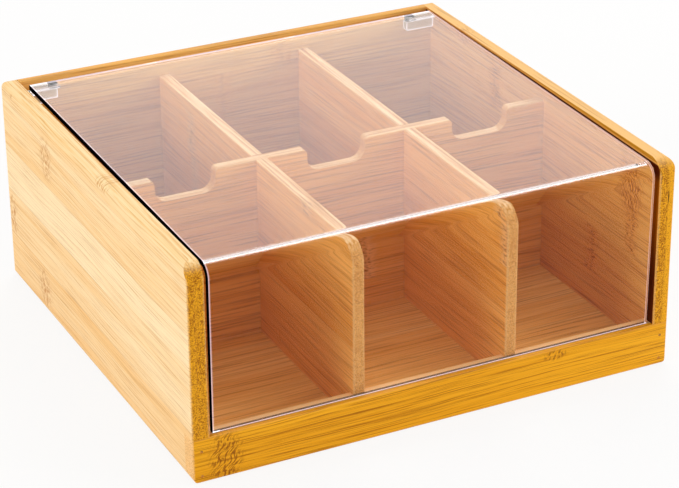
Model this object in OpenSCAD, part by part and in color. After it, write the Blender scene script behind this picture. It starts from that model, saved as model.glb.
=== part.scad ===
// Tea bag organizer box: a bamboo box with six compartments, three finger notches
// and a bent clear acrylic lid on two small clear hinges.
// Frame: X to the right, front at -Y, Z up, origin on the floor under the middle.
// All sizes are in millimetres.

/* [Box] */
// Outer width of the box
box_w = 280; // [240:1:340]
// Outer depth of the box
box_d = 266; // [220:1:320]
// Outer height of the box
box_h = 121.5; // [105:0.5:160]
// Radius of the side panels' upper front corners
corner_r = 10; // [6:0.5:16]
// Radius of the long top edges at the left and right
top_r = 4.5; // [2:0.5:6]
// Radius of the long bottom edges at the left and right
foot_r = 4; // [2:0.5:6]
// Radius of the outer rims
edge_r = 1.6; // [0.8:0.1:2]
// Radius of the edges that face inwards
ease_r = 0.6; // [0.3:0.1:1]

/* [Panels] */
// Thickness of each side panel
side_t = 9.5; // [8:0.5:14]
// Thickness of the back panel
back_t = 11.5; // [10.5:0.1:14]
// Thickness of the back panel's lip above the ledge that carries the hinges
lip_t = 5.5; // [4:0.1:6]
// Thickness of the front rail
rail_t = 10; // [9:0.5:14]
// Height of the front rail
rail_h = 25.4; // [20:0.2:35]
// Thickness of the floor panel
floor_t = 4; // [3:0.5:6]
// Gap under the floor panel
floor_lift = 5; // [4:0.5:8]
// Depth of the floor panel's groove in the side panels and the rail
floor_groove = 3.5; // [2:0.5:3.5]
// Depth of the grooves cut in the back panel
back_groove = 2; // [1.5:0.1:2.5]
// Thickness of the back panel's end tongues
tongue_t = 2.5; // [2:0.1:3]
// Length of the back panel's end tongues
tongue_l = 3; // [2:0.5:5]
// Height left uncut above and below each end tongue
tongue_end = 14; // [12:1:25]
// Clearance on each side of a glued joint
fit = 0.1; // [0.05:0.01:0.2]

/* [Dividers] */
// Thickness of the two long dividers
divider_t = 6.6; // [5:0.1:9]
// Thickness of the cross divider
cross_t = 6; // [5:0.1:9]
// Drop of the dividers' top edges below the box's top
divider_drop = 11.5; // [9:0.5:20]
// Gap between the lid's flap and the long dividers' front edges
divider_gap = 0.6; // [0.4:0.1:2]
// Radius of the long dividers' upper front corners
divider_r = 11.5; // [6:0.5:20]
// Distance of the cross divider's middle in front of the box's middle
cross_forward = 10; // [-20:1:30]
// Depth of the cross divider's end housings in the side panels
housing = 2.5; // [1.5:0.5:4]
// Width of each finger notch
notch_w = 35; // [24:1:50]
// Depth of each finger notch
notch_h = 13; // [8:1:25]
// Radius of a finger notch's upper corners
notch_top_r = 3; // [1:0.5:5]
// Radius of a finger notch's lower corners
notch_low_r = 7; // [3:0.5:8]

/* [Lid] */
// Thickness of the acrylic sheet
lid_t = 3; // [2.5:0.1:3.5]
// Drop of the lid's top below the box's top at the front
lid_drop = 2.1; // [1.5:0.1:3]
// Rise of the lid's top above the box's top at the hinges
lid_rise = 0.9; // [0.5:0.1:1.5]
// Distance of the lid's front face behind the box's front
lid_setback = 1.5; // [1:0.1:2]
// Outer radius of the lid's bend
bend_r = 8; // [5:0.5:9]
// Gap between the lid and each side panel
lid_side_gap = 2.5; // [1:0.1:3]
// Reach of the lid behind the hinge axis
lid_reach = 0.2; // [0.1:0.1:0.3]
// Gap between the closed lid and the rail
lid_rest_gap = 0.3; // [0.2:0.1:0.5]

/* [Hinges] */
// Width of each hinge
hinge_w = 18; // [14:0.5:30]
// Gap between each hinge and the side panel
hinge_side_gap = 0.8; // [0.4:0.1:2]
// Thickness of the wall leaf
wall_leaf_t = 4.4; // [3.4:0.1:6]
// Height of the wall leaf
wall_leaf_h = 6; // [4:0.5:14]
// Thickness of the lid leaf
lid_leaf_t = 1; // [0.8:0.1:1.2]
// Depth of the lid leaf
lid_leaf_d = 5; // [4:0.5:14]
// Radius of the hinge barrel
barrel_r = 1.5; // [1.3:0.1:1.6]
// Width of the lid leaf's knuckle
lid_knuckle_w = 5; // [4:0.5:8]
// Gap between the two knuckles
knuckle_gap = 0.4; // [0.2:0.1:0.6]
// Gap between the barrel and the lid, and between the barrel and the lid leaf
barrel_gap = 0.2; // [0.15:0.05:0.4]
// Height of the barrel's lowest line below the ledge
barrel_sink = 0.3; // [0.2:0.1:0.5]
// Radius of the hinge pin
pin_r = 0.8; // [0.5:0.1:1]
// Length of the pin inside the wall leaf's barrel
pin_grip = 3.5; // [2:0.5:6]
// Recess of the pin's end in the lid leaf's knuckle
pin_recess = 0.4; // [0.2:0.1:1]
// Running clearance around the pin in the lid leaf's knuckle
pin_run = 0.05; // [0.03:0.01:0.08]
// Clearance around the pin where it is glued in the wall leaf
pin_hold = 0.02; // [0.01:0.01:0.03]

/* [Brads] */
// Radius of the brads that hold the front rail
brad_r = 0.5; // [0.4:0.1:0.6]
// Radius of a brad's head
brad_head_r = 0.8; // [0.7:0.1:1.2]
// Height of a brad's head
brad_head_h = 0.8; // [0.5:0.1:1.2]
// Length of a brad
brad_l = 22; // [15:1:30]
// Depth of a brad's head under the rail's face
brad_sink = 0.2; // [0.1:0.1:0.5]
// Height of the lower brads above the floor
brad_low = 4; // [3:0.5:6]
// Distance of the upper brads below the rail's top
brad_drop = 7.4; // [4:0.2:9]

/* [Hidden] */
$fn = 64;
// Overlap of a cutter past the face that it cuts
over = 1;

// Planes that the pieces share
front_y = -box_d / 2;
rail_y = front_y + rail_t;
back_y = box_d / 2 - back_t;
inner_x = box_w / 2 - side_t;
floor_z = floor_lift + floor_t;
divider_z = box_h - divider_drop;
cross_y = -cross_forward;

// Three equal bays between the side panels
bay_w = (2 * inner_x - 2 * divider_t) / 3;
bay_pitch = bay_w + divider_t;
divider_x = bay_pitch / 2;

// Hinge axis; the barrels stand on the wall leaves, flush with their front faces
hinge_y = back_y - wall_leaf_t + barrel_r;
hinge_z = box_h + lid_rise - barrel_r - barrel_gap - lid_t;
hinge_out = inner_x - hinge_side_gap;
hinge_in = hinge_out - hinge_w;
barrel_in = hinge_in + lid_knuckle_w + knuckle_gap;
ledge_z = hinge_z - barrel_r + barrel_sink;

// Planes of the lid, seen from the hinge axis and before the lid is tilted to the front
lid_low = barrel_r + barrel_gap;
lid_top = lid_low + lid_t;
lid_front = front_y + lid_setback - hinge_y;
lid_tilt = atan((lid_drop + lid_rise) / -lid_front);
flap_low = (rail_h + lid_rest_gap - hinge_z - lid_front * sin(lid_tilt)) / cos(lid_tilt);
lid_x = inner_x - lid_side_gap;

// Front edges of the long dividers, behind the lower edge of the tilted flap
divider_y = hinge_y + (lid_front + lid_t) * cos(lid_tilt) - flap_low * sin(lid_tilt) + divider_gap;

bamboo_pale = [0.97, 0.82, 0.57];
bamboo_gold = [0.86, 0.62, 0.22];
bamboo_tan = [0.88, 0.67, 0.42];
clear_acrylic = [0.86, 0.86, 0.9, 0.45];
steel = [0.42, 0.4, 0.42];

// A rectangle with a radius of its own at each corner, from the lower left one round
module corner_rect(w, h, r) {
    difference() {
        square([w, h]);
        corner_waste([0, 0], [1, 1], r[0]);
        corner_waste([w, 0], [-1, 1], r[1]);
        corner_waste([w, h], [-1, -1], r[2]);
        corner_waste([0, h], [1, -1], r[3]);
    }
}

// What a rounded corner loses, at a point with the piece lying towards dir
module corner_waste(at, dir, r) {
    if (r > 0)
        translate(at)
            lie_towards(dir)
                difference() {
                    translate([-over, -over]) square(r + over);
                    translate([r, r]) circle(r);
                }
}

// Turns a shape drawn towards +X and +Y so that it lies towards dir
module lie_towards(dir) {
    mirror([dir[0] < 0 ? 1 : 0, 0]) mirror([0, dir[1] < 0 ? 1 : 0]) children();
}

// A board of size [x, y, z] with its lower left front corner at the origin, which is what
// three outlines have in common: seen from the front, from the right and from above.
// Each outline has its own four corner radii, from the lower left one round.
module board(size, front, side, plan) {
    intersection() {
        translate([0, size[1], 0])
            rotate([90, 0, 0]) linear_extrude(size[1]) corner_rect(size[0], size[2], front);
        rotate([90, 0, 90]) linear_extrude(size[0]) corner_rect(size[1], size[2], side);
        linear_extrude(size[2]) corner_rect(size[0], size[1], plan);
    }
}

// Stands a board up across the box: its width along X, its height along Z,
// its lower face at depth y1 and its upper face in front of it
module stand_across(x, y1, z) {
    translate([x, y1, z]) rotate([90, 0, 0]) children();
}

// Stands a board up along the box: its width along Y, its height along Z,
// its lower face at x and its upper face to the right of it
module stand_along(x, y, z) {
    translate([x, y, z]) rotate([90, 0, 90]) children();
}

// A box between two corners
module block(low, high) {
    translate(low) cube(high - low);
}

// Heights of the two brads at each end of the rail
brad_heights = [brad_low, rail_h - brad_drop];

// Middle of the side panel's front edge, where the right brads go in
brad_x = box_w / 2 - side_t / 2;

// A brad along Y at a height, grown all round by a clearance
module brad(z, grow) {
    translate([brad_x, front_y + brad_sink, z])
        rotate([-90, 0, 0]) {
            cylinder(r = brad_r + grow, h = brad_l + grow);
            cylinder(r = brad_head_r + grow, h = brad_head_h + grow);
        }
}

// A brad's hole, open to the rail's front face
module brad_hole(z) {
    brad(z, fit / 2);
    translate([brad_x, front_y - over, z])
        rotate([-90, 0, 0]) cylinder(r = brad_head_r + fit / 2, h = over + brad_sink + brad_head_h);
}

// The right side panel; the left one is its mirror image
module side_panel() {
    difference() {
        translate([inner_x, front_y, 0])
            board([side_t, box_d, box_h],
                  front = [0, foot_r, top_r, ease_r],
                  side = [edge_r, edge_r, edge_r, corner_r],
                  plan = [ease_r, edge_r, edge_r, 0]);
        // Rebate for the front rail
        block([inner_x - over, front_y - over, -over], [box_w / 2 + over, rail_y, rail_h]);
        // Groove for the floor panel
        block([inner_x - over, rail_y - over, floor_lift - fit],
              [inner_x + floor_groove, back_y + back_groove + fit, floor_z + fit]);
        // Housing for the cross divider
        block([inner_x - over, cross_y - cross_t / 2 - fit, floor_z],
              [inner_x + housing, cross_y + cross_t / 2 + fit, divider_z + fit]);
        // Groove for the back panel's tongue
        block([inner_x - over, tongue_y() - fit, tongue_end - fit],
              [inner_x + tongue_l, tongue_y() + tongue_t + fit, box_h - tongue_end + fit]);
        for (z = brad_heights) brad_hole(z);
    }
}

// Front face of the back panel's tongues
function tongue_y() = back_y + (back_t - tongue_t) / 2;

module left_side_panel() {
    color(bamboo_pale) mirror([1, 0, 0]) side_panel();
}

module right_side_panel() {
    color(bamboo_pale) side_panel();
}

// Side outline of the back panel: a ledge for the hinges with a thin lip behind it, as y and z
module back_outline() {
    difference() {
        corner_rect(back_t, box_h, [0, edge_r, edge_r, 0]);
        translate([-over, ledge_z]) square([over + back_t - lip_t, box_h]);
        corner_waste([0, ledge_z], [1, -1], ease_r);
        corner_waste([back_t - lip_t, box_h], [1, -1], ease_r);
    }
}

// Back panel between the side panels, with a tongue at each end
module back_panel() {
    color(bamboo_gold)
        difference() {
            union() {
                stand_along(-inner_x, back_y, 0) linear_extrude(2 * inner_x) back_outline();
                block([-inner_x - tongue_l + fit, tongue_y(), tongue_end],
                      [inner_x + tongue_l - fit, tongue_y() + tongue_t, box_h - tongue_end]);
            }
            // Groove for the floor panel
            block([-inner_x - over, back_y - over, floor_lift - fit],
                  [inner_x + over, back_y + back_groove, floor_z + fit]);
            // Housings for the long dividers
            for (side = [-1, 1])
                translate([side * divider_x, 0, 0])
                    block([-divider_t / 2 - fit, back_y - over, floor_z],
                          [divider_t / 2 + fit, back_y + back_groove, divider_z + fit]);
        }
}

// Front rail across the whole width, under the side panels' front edges
module front_rail() {
    color(bamboo_gold)
        difference() {
            translate([-box_w / 2, front_y, 0])
                board([box_w, rail_t, rail_h],
                      front = [foot_r, foot_r, 0, 0],
                      side = [edge_r, 0, 0, ease_r / 2],
                      plan = [edge_r, edge_r, 0, 0]);
            // Groove for the floor panel
            block([-inner_x - floor_groove, rail_y - floor_groove, floor_lift - fit],
                  [inner_x + floor_groove, rail_y + over, floor_z + fit]);
            for (z = brad_heights) {
                brad_hole(z);
                mirror([1, 0, 0]) brad_hole(z);
            }
        }
}

// Thin floor panel, let into grooves on all four sides
module floor_panel() {
    color(bamboo_tan)
        block([-inner_x - floor_groove + fit, rail_y - floor_groove + fit, floor_lift],
              [inner_x + floor_groove - fit, back_y + back_groove - fit, floor_z]);
}

// Long divider at the middle of the width; it stands on the floor and on the rail
module long_divider() {
    length = back_y + back_groove - fit - divider_y;
    height = divider_z - floor_z;
    difference() {
        translate([-divider_t / 2, divider_y, floor_z])
            board([divider_t, length, height],
                  front = [0, 0, ease_r, ease_r],
                  side = [0, 0, 0, divider_r],
                  plan = [ease_r, ease_r, 0, 0]);
        // Rebate over the front rail
        block([-divider_t, front_y, floor_z - over], [divider_t, rail_y + fit, rail_h]);
        // Halving for the cross divider, from the top
        block([-divider_t, cross_y - cross_t / 2 - fit, floor_z + height / 2],
              [divider_t, cross_y + cross_t / 2 + fit, divider_z + over]);
    }
}

module left_divider() {
    color(bamboo_tan) translate([-divider_x, 0, 0]) long_divider();
}

module right_divider() {
    color(bamboo_tan) translate([divider_x, 0, 0]) long_divider();
}

// Outline of one finger notch, its mouth at height zero and its middle at x = 0
module notch_outline() {
    difference() {
        union() {
            translate([-notch_w / 2, -notch_h])
                corner_rect(notch_w, notch_h + over, [notch_low_r, notch_low_r, 0, 0]);
            // Flare that the rounded upper corners stand in
            translate([-notch_w / 2 - notch_top_r, -notch_top_r])
                square([notch_w + 2 * notch_top_r, notch_top_r + over]);
        }
        for (side = [-1, 1])
            translate([side * (notch_w / 2 + notch_top_r), -notch_top_r]) circle(notch_top_r);
    }
}

// Cross divider from side panel to side panel, with a finger notch in each bay
module cross_divider() {
    length = 2 * (inner_x + housing - fit);
    height = divider_z - floor_z;
    color(bamboo_tan)
        difference() {
            translate([-length / 2, cross_y - cross_t / 2, floor_z])
                board([length, cross_t, height],
                      front = [0, 0, 0, 0],
                      side = [0, 0, ease_r, ease_r],
                      plan = [0, 0, 0, 0]);
            for (bay = [-1:1])
                translate([bay * bay_pitch, cross_y + cross_t, divider_z])
                    rotate([90, 0, 0]) linear_extrude(2 * cross_t) notch_outline();
            // Halvings for the long dividers, from below
            for (side = [-1, 1])
                translate([side * divider_x, cross_y, 0])
                    block([-divider_t / 2 - fit, -cross_t, floor_z - over],
                          [divider_t / 2 + fit, cross_t, floor_z + height / 2]);
        }
}

// Turns what is drawn round the hinge axis into the closed lid's place
module on_hinge() {
    translate([0, hinge_y, hinge_z]) rotate([lid_tilt, 0, 0]) children();
}

// Side outline of the lid round the hinge axis: flat top, bend and front flap, as y and z
module lid_outline() {
    bend_y = lid_front + bend_r;
    bend_z = lid_top - bend_r;
    translate([bend_y, lid_low]) square([lid_reach - bend_y, lid_t]);
    translate([lid_front, flap_low]) square([lid_t, bend_z - flap_low]);
    difference() {
        translate([bend_y, bend_z]) circle(bend_r);
        translate([bend_y, bend_z]) circle(bend_r - lid_t);
        translate([bend_y, bend_z - bend_r - over]) square([bend_r + over, 2 * (bend_r + over)]);
        translate([bend_y - bend_r - over, bend_z - bend_r - over])
            square([2 * (bend_r + over), bend_r + over]);
    }
}

// Bent acrylic lid
module lid() {
    color(clear_acrylic)
        on_hinge() stand_along(-lid_x, 0, 0) linear_extrude(2 * lid_x) lid_outline();
}

// Wall leaf of the right hinge: a block on the back panel with the outer part of the barrel on it
module wall_leaf() {
    difference() {
        union() {
            stand_across(hinge_in, back_y, ledge_z - wall_leaf_h)
                linear_extrude(wall_leaf_t)
                    corner_rect(hinge_w, wall_leaf_h, [ease_r, ease_r, 0, 0]);
            translate([barrel_in, hinge_y, hinge_z])
                rotate([0, 90, 0]) cylinder(r = barrel_r, h = hinge_out - barrel_in);
        }
        // Room for the lid leaf's knuckle
        block([hinge_in - over, back_y - wall_leaf_t - over, hinge_z - barrel_r - knuckle_gap],
              [barrel_in, back_y + over, hinge_z]);
        translate([barrel_in - over, hinge_y, hinge_z])
            rotate([0, 90, 0]) cylinder(r = pin_r + pin_hold, h = pin_grip + fit + over);
    }
}

// Lid leaf of the right hinge: a plate under the lid and the inner part of the barrel
module lid_leaf() {
    plate_back = -barrel_r - barrel_gap;
    on_hinge()
        difference() {
            union() {
                block([hinge_in, plate_back - lid_leaf_d, lid_low - lid_leaf_t],
                      [min(hinge_out, lid_x), plate_back, lid_low]);
                // Arm over the knuckle
                block([hinge_in, plate_back - over, lid_low - lid_leaf_t],
                      [hinge_in + lid_knuckle_w, 0, lid_low]);
                translate([hinge_in, 0, 0])
                    rotate([0, 90, 0]) cylinder(r = barrel_r, h = lid_knuckle_w);
            }
            translate([hinge_in - over, 0, 0])
                rotate([0, 90, 0]) cylinder(r = pin_r + pin_run, h = lid_knuckle_w + 2 * over);
        }
}

// Pin of the right hinge
module hinge_pin() {
    translate([hinge_in + pin_recess, hinge_y, hinge_z])
        rotate([0, 90, 0])
            cylinder(r = pin_r, h = barrel_in + pin_grip - hinge_in - pin_recess);
}

module left_hinge_wall_leaf() {
    color(clear_acrylic) mirror([1, 0, 0]) wall_leaf();
}

module right_hinge_wall_leaf() {
    color(clear_acrylic) wall_leaf();
}

module left_hinge_lid_leaf() {
    color(clear_acrylic) mirror([1, 0, 0]) lid_leaf();
}

module right_hinge_lid_leaf() {
    color(clear_acrylic) lid_leaf();
}

module left_hinge_pin() {
    color(steel) mirror([1, 0, 0]) hinge_pin();
}

module right_hinge_pin() {
    color(steel) hinge_pin();
}

module left_rail_brads() {
    color(steel) mirror([1, 0, 0]) for (z = brad_heights) brad(z, 0);
}

module right_rail_brads() {
    color(steel) for (z = brad_heights) brad(z, 0);
}

left_side_panel();
right_side_panel();
back_panel();
front_rail();
floor_panel();
left_divider();
right_divider();
cross_divider();
lid();
left_hinge_wall_leaf();
right_hinge_wall_leaf();
left_hinge_lid_leaf();
right_hinge_lid_leaf();
left_hinge_pin();
right_hinge_pin();
left_rail_brads();
right_rail_brads();
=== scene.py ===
import math

import bmesh
import bpy
from mathutils import Matrix, Vector


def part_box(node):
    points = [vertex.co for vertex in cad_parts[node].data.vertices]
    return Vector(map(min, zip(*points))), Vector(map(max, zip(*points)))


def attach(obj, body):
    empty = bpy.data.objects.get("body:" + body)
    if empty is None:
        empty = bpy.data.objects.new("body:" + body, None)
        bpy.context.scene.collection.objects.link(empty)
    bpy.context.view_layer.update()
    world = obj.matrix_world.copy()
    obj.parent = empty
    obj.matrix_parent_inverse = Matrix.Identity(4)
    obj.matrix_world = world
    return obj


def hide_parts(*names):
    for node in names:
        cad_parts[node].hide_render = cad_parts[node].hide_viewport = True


# Looks of the tea bag organizer box: bamboo boards, a bent clear acrylic lid and its hinges.
# X runs to the right, the front is at -Y and Z is up. Shapes are in metres, patterns in millimetres.

MM = 0.001
TO_MM = 1000.0
AXIS = {"x": 0, "y": 1, "z": 2}
NOISE_RANGE = (0.2, 0.8)

# Camera, solved from the corners of the box
CAMERA_PLACE = (-0.53911, -1.11434, 0.65051)
CAMERA_AZIMUTH = math.radians(-26.14)
CAMERA_ELEVATION = math.radians(26.05)
CAMERA_ROLL = math.radians(-0.54)
CAMERA_LENS = 130.7
SENSOR_WIDTH = 36.0
NEAREST_SEEN = 0.05
FARTHEST_SEEN = 50.0

# Soft light from all sides and a pale floor
AMBIENT = 0.62
AMBIENT_COLOUR = (1.0, 0.985, 0.965, 1.0)
WHITE = (1.0, 1.0, 1.0, 1.0)
FLOOR_SIZE = 8.0
FLOOR_COLOUR = (0.86, 0.85, 0.84, 1.0)
FLOOR_GLOSS = 0.1
FLOOR_ROUGHNESS = (0.8, 0.9)
FLOOR_SPECKS_PER_METRE = 60.0
FLOOR_WHITENESS = 0.86

# Softboxes: name, place, the point they face, width, height, power in watts
SOFTBOX_COLOUR = (1.0, 0.985, 0.96)
SOFTBOXES = (
    ("Left_Softbox", (-1.8, -0.3, 0.85), (0.0, 0.0, 0.05), 1.0, 1.0, 14.5),
    ("Top_Softbox", (0.71, 0.92, 1.47), (0.0, 0.0, 0.1), 0.9, 0.9, 10.0),
    ("Back_Card", (0.79, 1.59, 1.04), (0.0, 0.0, 0.1), 1.1, 0.7, 2.0),
    ("Right_Fill", (1.5, -1.2, 0.6), (0.0, 0.0, 0.05), 0.8, 0.8, 13.0),
)

# The acrylic sheet's shape; it falls from the hinges to its front and ends just behind the pins' axis
SHEET = 3 * MM
LID_FALL = 3.0 * MM
LID_RUN = 250.1 * MM
LID_TILT = math.atan(LID_FALL / LID_RUN)
LID_BEHIND_AXIS = 0.2 * MM
BEND_RADIUS = 8 * MM
BEND_STEPS = 24
BESIDE_BEND = 1 * MM
FAR_FROM_BEND = 8 * MM
ABOVE_FOOT = 3 * MM
EASED_EDGE = 0.3 * MM
EASED_STEPS = 2
EASED_FROM_ANGLE = math.radians(50)

# Colours as sRGB shares
BLACK = (0.0, 0.0, 0.0)
PALE_STRAW = (0.99, 0.885, 0.70)
PEACH_STRAW = (0.96, 0.765, 0.48)
GOLD_EDGE = (0.965, 0.79, 0.50)
# Painted shade: the side panels' inner faces are darkened with this colour
INNER_PAINTED_SHADE = (0.95, 0.81, 0.56)
# Painted light: the lit strip of the right panel's inner face above the closed lid
PAINTED_LIGHT_INNER_STRIP = (0.88, 0.72, 0.28)
# Painted light: the rail's upper face behind the flap is painted paler
SHELF_PAINTED_LIGHT = (0.99, 0.82, 0.60)
# Pale arrises of the boards: partly wear, partly a painted highlight
WEAR_AND_HIGHLIGHT_ARRIS = (0.99, 0.88, 0.66)
CRACK_BROWN = (0.16, 0.08, 0.02)
SCAR_STROKE = (0.78, 0.50, 0.17)
END_LIGHT = (0.93, 0.66, 0.10)
DEEP_AMBER = (0.59, 0.33, 0.0)
BROWN_FIBRE = (0.60, 0.36, 0.10)
CLEAR_TINT = (0.985, 0.985, 0.995)
BLOCK_TINT = (0.90, 0.92, 0.89)
# Painted on the lid's dull sawn faces: dark painted shade on the left side and the foot, and a painted
# reflection of the right panel on the right side
PAINTED_SHADE_LEFT = (0.02, 0.015, 0.03)
PAINTED_PANEL_REFLECTION_RIGHT = (0.82, 0.60, 0.42)
# Painted shadow in the gap beside the closed lid, and the painted light that glimmers into it
GAP_SHADE = (0.30, 0.07, 0.0)
GAP_GLIMMER = (0.58, 0.30, 0.0)
# Painted highlight: the glow of the acrylic's arrises
RIM_LIGHT = (0.95, 0.93, 1.0)
# Painted light: the glow of rays trapped in the acrylic
BEND_GLOW = (1.0, 0.95, 0.93)
KNUCKLE_BROWN = (0.12, 0.03, 0.03)
PIN_BROWN = (0.16, 0.10, 0.10)
BRAD_AMBER = (0.86, 0.56, 0.10)

# Board colours that differ from the defaults of the bamboo group
AMBER_BOARD = {"Pale": (0.96, 0.69, 0.12), "Warm": (0.86, 0.56, 0.0), "Edge Grain": (0.94, 0.66, 0.12),
               "Fibre": (0.50, 0.25, 0.0), "Scar": (0.53, 0.27, 0.0),
               "End Grain": (0.93, 0.71, 0.42), "End Light": (0.98, 0.80, 0.55)}
LEFT_BOARD = {"Fibre": (0.68, 0.43, 0.15), "Edge Grain": (0.985, 0.875, 0.67)}
RIGHT_BOARD = {"Edge Grain": (0.965, 0.75, 0.44), "Scar": (0.62, 0.36, 0.12),
               "Fibre": (0.60, 0.35, 0.04)}
BACK_BOARD = {"Pale": (0.93, 0.75, 0.44), "Warm": (0.87, 0.63, 0.30), "Edge Grain": (0.93, 0.68, 0.30)}
# The inner boards' deeper colours are painted shade inside the box
INNER_BOARD_PAINTED_SHADE = {"Pale": (0.97, 0.73, 0.39), "Warm": (0.89, 0.59, 0.19), "Edge Grain": (0.99, 0.84, 0.64),
               "Fibre": (0.56, 0.30, 0.06), "Scar": (0.58, 0.32, 0.08),
               "End Grain": (0.82, 0.55, 0.27), "End Light": (0.93, 0.69, 0.40)}
FLOOR_BOARD = INNER_BOARD_PAINTED_SHADE | {"Pale": (1.0, 0.82, 0.50), "Warm": (0.94, 0.67, 0.28)}

# Node scars: centre along the grain and across the strips, length and width
LEFT_PANEL_SCARS = ((63, 101, 12, 17), (78, 15, 13, 17), (126, 42, 9, 17), (-21, 120, 12, 4),
                    (117, 118, 3, 2))
RIGHT_PANEL_SCARS = ((-104, 96, 15, 22),)
RAIL_SCARS = ((-122, 11, 12, 22), (69, 22, 9, 4))
SCAR_SEED_STEP = 3.7

# The left panel's strips from the bottom up: lower edge and tone
LEFT_STRIP_TONES = ((0, 0.30), (29.5, -0.08), (57, -0.30), (84.5, 0.10), (112, -0.02))
STRIP_EDGE_BLUR = 0.15

# Strips and plies of most boards; a solid ply is wider than its board is thick
BOARD_STRIP = 26.0
BOARD_PLY = 6.0
SOLID_PLY = 20.0
NODE_SPACING = 330.0
RAIL_STRIP = 40.0
RAIL_SHIFT = (0, 7, 140.0)
DIVIDER_SHIFT = (0, 0, 150.0)

# The side panels' strips and plies; the right one's ends have a fine crack beside the ply joint
SIDE_STRIP = 27.5
SIDE_PLY = 5.7
SIDE_STRIP_SHIFT = -2.0
SIDE_PLY_JOINT = 136.0
CRACK_X = 136.2
CRACK_BOTTOM = 95.0
CRACK_TOP = 106.0
CRACK_HALF_WIDTH = 0.4
CRACK_COVER = 0.9
OUTER_PLY_X = 135.8
OUTER_PLY_BLUR = 0.2
OUTER_PLY_TONES = (-0.1, 0.45)

# The rail's upper face is painted paler, as painted light, from just behind the flap's outer face
SHELF_BEHIND_FLAP = 1.0
SHELF_BLUR = 0.3
SHELF_COVER = 0.85

# Shape of a node scar: how ragged its outline is, and how its dashes lean, bend and repeat
SCAR_RAGGED_FINENESS = 0.35
SCAR_RAGGED_REACH = 9.0
SCAR_FADE = (0.35, 1.0)
DASH_LEAN_ALONG = 0.5
DASH_LEAN_ACROSS = 0.87
DASH_BEND_RATE = 0.7
DASH_BEND = 0.8
DASH_FINENESS = (0.28, 0.95)
DASH_STEP = (0.45, 0.60)

# Fineness of the bamboo's patterns along the grain, across the strips and through the plies
SWAY_GRAIN = (0.007, 0.02, 0.02)
BROAD_GRAIN = (0.004, 0.09, 0.09)
STREAK_GRAIN = (0.011, 0.75, 0.75)
HAIR_GRAIN = (0.022, 1.5, 1.5)
NODE_GRAIN = (0.30, 0.95, 0.95)
BUNDLE_GRAIN = (0.02, 1.35, 1.35)
MOTTLE_GRAIN = (0.02, 0.30, 0.7)
SPECKLE_GRAIN = (0.02, 1.45, 1.45)

# Tone and fibres of a strip
CULM_LENGTH = 900.0
SWAY_WIDTH = 6.0
MIDDLE_TONE = 0.42
TONE_SPREAD = 0.62
TONE_SWING = 1.5
LINE_STEP = (0.52, 0.66)
LINE_COVER = 0.26
HAIR_STEP = (0.50, 0.64)
HAIR_COVER = 0.34
EDGE_TONE_STEP = (0.36, 0.66)
EDGE_LINE_COVER = 0.35

# The nodes that every strip has of its own
NODE_RAGGED_FINENESS = 0.30
NODE_RAGGED_REACH = 8.0
NODE_BAND = (2.0, 9.0)
NODE_RIDGE = (0.2, 1.3)
NODE_FAN_RATE = 0.25
NODE_FAN = 2.2
NODE_SLANT = -0.35
NODE_DASH_STEP = (0.50, 0.66)
PATCH_COVER = 0.30
DASH_COVER = 0.85
RIDGE_COVER = 0.22
EDGE_DASH_COVER = 0.50

# End grain, and the glue lines between strips and plies
BUNDLE_SHIFT = 40.0
BUNDLE_DOT = (0.16, 0.46)
DOT_COVER = 0.45
MOTTLE_LIGHT = 1.4
SPECKLE_LIGHT = 3.5
PLY_LIGHT = 0.2
END_LIGHT_OFFSET = -1.9
GLUE_LINE = (0.05, 0.30)
GLUE_COVER = 0.28

# Lacquer: roughness, gloss and the depth of the relief under it
LACQUER_ROUGHNESS = 0.34
STREAK_ROUGHNESS = 0.18
END_ROUGHNESS = 0.12
LACQUER_GLOSS = 0.12
LACQUER_COAT = 0.03
LACQUER_COAT_ROUGHNESS = 0.25
RELIEF_STRENGTH = 0.35
RELIEF_DEPTH = 0.15 * MM

# How far a normal looks along an axis where a board's end, edge or face begins and is complete
END_FACING = (0.30, 0.92)
FLAT_FACING = (0.5, 0.95)

# Pale arrises of the boards, partly wear and partly a painted highlight, with a width that wavers
ARRIS_SHARE_WEAR_AND_HIGHLIGHT = 0.25
RAIL_SHARE_WEAR_AND_HIGHLIGHT = 0.08
BOARD_ARRIS = 1.3
ARRIS_WAVER_FINENESS = 0.15
ARRIS_WAVER = 1.2
ARRIS_WAVER_LEAST = 0.4

# Painted highlights on the sheet's arrises, and painted shade and panel colour on its sawn sides
SAWN_FACING = (0.90, 0.97)
FLAP_FACING = (-0.95, -0.70)
FLAP_OUTER_DEPTH = 2.5
LEFT_ARRIS_WIDENING = 0.6
RIGHT_ARRIS_LOSS_ON_FLAP = -0.75
BACK_ARRIS_SHARE = 0.75
SHEET_ARRIS = 0.6
PAINTED_SHADE_LINE_WIDTH = 0.35
FOOT_LINE = (0.35, 0.6)
LEFT_LINE_BLUR = 0.1
SAWN_FOOT_HEIGHT = 1.0
SAWN_SIDE_DEPTH = 0.5
ARRIS_LIGHT = 0.6

# The painted shadow in the gap beside the closed lid, with painted light glimmering in and a lit strip
# painted over the lid. Roof, bottom and lit strip are measured from the sheet's upper face, front and
# back from the flap's outer face, and the other heights from the floor.
GAP_ROOF = (-1.4, -0.6)
GAP_BOTTOM = (-4.5, -3.6)
GAP_LIMIT_HEIGHT = (119.6, 120.6)
GAP_FRONT = (-1.1, -0.4)
GAP_BACK = (4.5, 6.5)
GLIMMER_BEGINS = (50.0, 95.0)
GLIMMER_ENDS = (108.0, 114.0)
LIT_STRIP = (-0.6, 0.2)

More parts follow.
